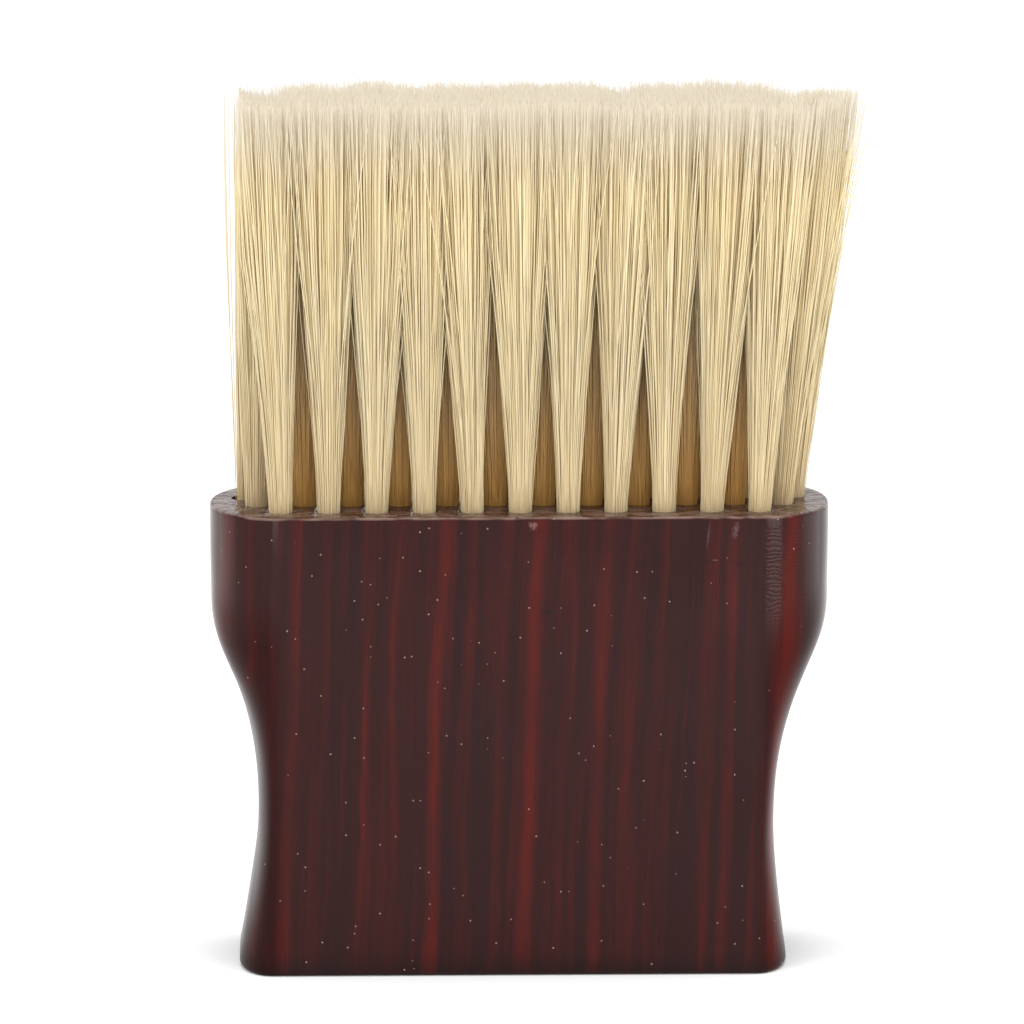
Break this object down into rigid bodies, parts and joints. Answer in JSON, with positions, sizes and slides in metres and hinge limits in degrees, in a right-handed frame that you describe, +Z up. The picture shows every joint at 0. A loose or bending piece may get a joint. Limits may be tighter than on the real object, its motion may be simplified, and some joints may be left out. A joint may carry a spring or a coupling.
{
  "type": "neck duster brush",
  "caption": "Flat neck duster: waisted lacquered wooden handle with a wide head, drilled with staggered rows of long, soft, pale bristle tufts.",
  "frame": {"origin": "centre of the handle's flat base, which the brush stands on", "axes": "+Z up from the base to the bristle tips, +X along the rows of tufts, -Y the front face"},
  "size_m": [0.1074, 0.032, 0.1515],
  "materials": {
    "lacquered_wood": "dark red-brown stained wood under glossy clear lacquer",
    "bristle": "soft cream filaments with paler tips",
    "anchor_metal": "flat strip, cut and pressed"
  },
  "bodies": {
    "root": {"handle": "lacquered_wood", "tuft_row1_01": "bristle", "tuft_row1_02": "bristle", "tuft_row1_03": "bristle", "tuft_row1_04": "bristle", "tuft_row1_05": "bristle", "tuft_row1_06": "bristle", "tuft_row1_07": "bristle", "tuft_row1_08": "bristle", "tuft_row1_09": "bristle", "tuft_row1_10": "bristle", "tuft_row1_11": "bristle", "tuft_row2_01": "bristle", "tuft_row2_02": "bristle", "tuft_row2_03": "bristle", "tuft_row2_04": "bristle", "tuft_row2_05": "bristle", "tuft_row2_06": "bristle", "tuft_row2_07": "bristle", "tuft_row2_08": "bristle", "tuft_row2_09": "bristle", "tuft_row2_10": "bristle", "tuft_row2_11": "bristle", "tuft_row2_12": "bristle", "tuft_row3_01": "bristle", "tuft_row3_02": "bristle", "tuft_row3_03": "bristle", "tuft_row3_04": "bristle", "tuft_row3_05": "bristle", "tuft_row3_06": "bristle", "tuft_row3_07": "bristle", "tuft_row3_08": "bristle", "tuft_row3_09": "bristle", "tuft_row3_10": "bristle", "tuft_row3_11": "bristle", "tuft_row3_12": "bristle", "tuft_row3_13": "bristle", "tuft_row4_01": "bristle", "tuft_row4_02": "bristle", "tuft_row4_03": "bristle", "tuft_row4_04": "bristle", "tuft_row4_05": "bristle", "tuft_row4_06": "bristle", "tuft_row4_07": "bristle", "tuft_row4_08": "bristle", "tuft_row4_09": "bristle", "tuft_row4_10": "bristle", "anchor_row1_01": "anchor_metal", "anchor_row1_02": "anchor_metal", "anchor_row1_03": "anchor_metal", "anchor_row1_04": "anchor_metal", "anchor_row1_05": "anchor_metal", "anchor_row1_06": "anchor_metal", "anchor_row1_07": "anchor_metal", "anchor_row1_08": "anchor_metal", "anchor_row1_09": "anchor_metal", "anchor_row1_10": "anchor_metal", "anchor_row1_11": "anchor_metal"}
  },
  "joints": []
}
